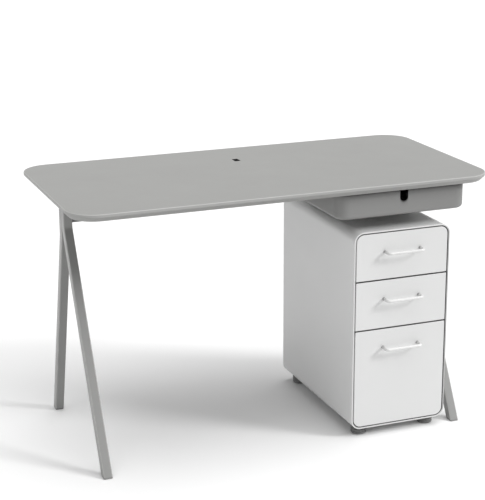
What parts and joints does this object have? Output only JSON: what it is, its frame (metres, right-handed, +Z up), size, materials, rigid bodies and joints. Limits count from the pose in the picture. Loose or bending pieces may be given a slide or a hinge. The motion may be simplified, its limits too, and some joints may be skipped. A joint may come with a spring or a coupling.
{
  "type": "writing desk with drawers",
  "caption": "Writing desk: round-cornered top on splayed A-frame legs, a slim drawer under the top and a free-standing drawer pedestal.",
  "frame": {"origin": "on the floor under the middle of the desktop", "axes": "+X along the desktop to the right hand of a person who sits at it, +Y to the back of the desk, +Z up"},
  "size_m": [1.192, 0.59, 0.73],
  "materials": {
    "grey_top": "smooth matt grey laminate on board",
    "grey_tray": "satin grey moulding",
    "grey_paint": "fine-texture grey powder coat",
    "white_paint": "satin white powder coat",
    "white_gloss": "smooth white paint",
    "dark_plastic": "matt dark grey nylon",
    "black_plastic": "matt black",
    "zinc_steel": "bright zinc-plated sheet"
  },
  "bodies": {
    "desk": {"cable_grommet": "black_plastic", "cross_rail": "grey_paint", "desktop": "grey_top", "file_drawer_runner_outer_left": "zinc_steel", "file_drawer_runner_outer_right": "zinc_steel", "front_leg_glide_left": "grey_tray", "front_leg_glide_right": "grey_tray", "front_leg_left": "grey_paint", "front_leg_right": "grey_paint", "leg_plate_left": "grey_paint", "leg_plate_right": "grey_paint", "middle_drawer_runner_outer_left": "zinc_steel", "middle_drawer_runner_outer_right": "zinc_steel", "pedestal_back": "white_paint", "pedestal_case": "white_paint", "pedestal_foot_front_left": "dark_plastic", "pedestal_foot_front_right": "dark_plastic", "pedestal_foot_rear_left": "dark_plastic", "pedestal_foot_rear_right": "dark_plastic", "rear_leg_glide_left": "grey_tray", "rear_leg_glide_right": "grey_tray", "rear_leg_left": "grey_paint", "rear_leg_right": "grey_paint", "slim_runner_track_left": "zinc_steel", "slim_runner_track_right": "zinc_steel", "top_drawer_runner_outer_left": "zinc_steel", "top_drawer_runner_outer_right": "zinc_steel"},
    "slim_drawer": {"slim_drawer_tray": "grey_tray", "slim_runner_bar_left": "zinc_steel", "slim_runner_bar_right": "zinc_steel"},
    "top_drawer": {"top_drawer_front": "white_paint", "top_drawer_box": "white_paint", "top_drawer_handle": "white_gloss", "top_drawer_handle_screw_left": "zinc_steel", "top_drawer_handle_screw_right": "zinc_steel", "top_drawer_runner_inner_left": "zinc_steel", "top_drawer_runner_inner_right": "zinc_steel"},
    "top_runners": {"top_drawer_runner_middle_left": "zinc_steel", "top_drawer_runner_middle_right": "zinc_steel"},
    "middle_drawer": {"middle_drawer_front": "white_paint", "middle_drawer_box": "white_paint", "middle_drawer_handle": "white_gloss", "middle_drawer_handle_screw_left": "zinc_steel", "middle_drawer_handle_screw_right": "zinc_steel", "middle_drawer_runner_inner_left": "zinc_steel", "middle_drawer_runner_inner_right": "zinc_steel"},
    "middle_runners": {"middle_drawer_runner_middle_left": "zinc_steel", "middle_drawer_runner_middle_right": "zinc_steel"},
    "file_drawer": {"file_drawer_front": "white_paint", "file_drawer_box": "white_paint", "file_drawer_handle": "white_gloss", "file_drawer_handle_screw_left": "zinc_steel", "file_drawer_handle_screw_right": "zinc_steel", "file_drawer_runner_inner_left": "zinc_steel", "file_drawer_runner_inner_right": "zinc_steel", "file_rail_left": "zinc_steel", "file_rail_right": "zinc_steel"},
    "file_runners": {"file_drawer_runner_middle_left": "zinc_steel", "file_drawer_runner_middle_right": "zinc_steel"}
  },
  "joints": [
    {"name": "slim_drawer_slide", "type": "slide", "parent": "desk", "child": "slim_drawer", "axis": [0, -1, 0], "range_m": [0, 0.17]},
    {"name": "top_drawer_slide", "type": "slide", "parent": "desk", "child": "top_drawer", "axis": [0, -1, 0], "range_m": [0, 0.4]},
    {"name": "top_runners_slide", "type": "slide", "parent": "desk", "child": "top_runners", "axis": [0, -1, 0], "range_m": [0, 0.2]},
    {"name": "middle_drawer_slide", "type": "slide", "parent": "desk", "child": "middle_drawer", "axis": [0, -1, 0], "range_m": [0, 0.4]},
    {"name": "middle_runners_slide", "type": "slide", "parent": "desk", "child": "middle_runners", "axis": [0, -1, 0], "range_m": [0, 0.2]},
    {"name": "file_drawer_slide", "type": "slide", "parent": "desk", "child": "file_drawer", "axis": [0, -1, 0], "range_m": [0, 0.4]},
    {"name": "file_runners_slide", "type": "slide", "parent": "desk", "child": "file_runners", "axis": [0, -1, 0], "range_m": [0, 0.2]}
  ],
  "couplings": [
    {"joint": "top_runners_slide", "follows": "top_drawer_slide", "ratio": 0.5},
    {"joint": "middle_runners_slide", "follows": "middle_drawer_slide", "ratio": 0.5},
    {"joint": "file_runners_slide", "follows": "file_drawer_slide", "ratio": 0.5}
  ]
}
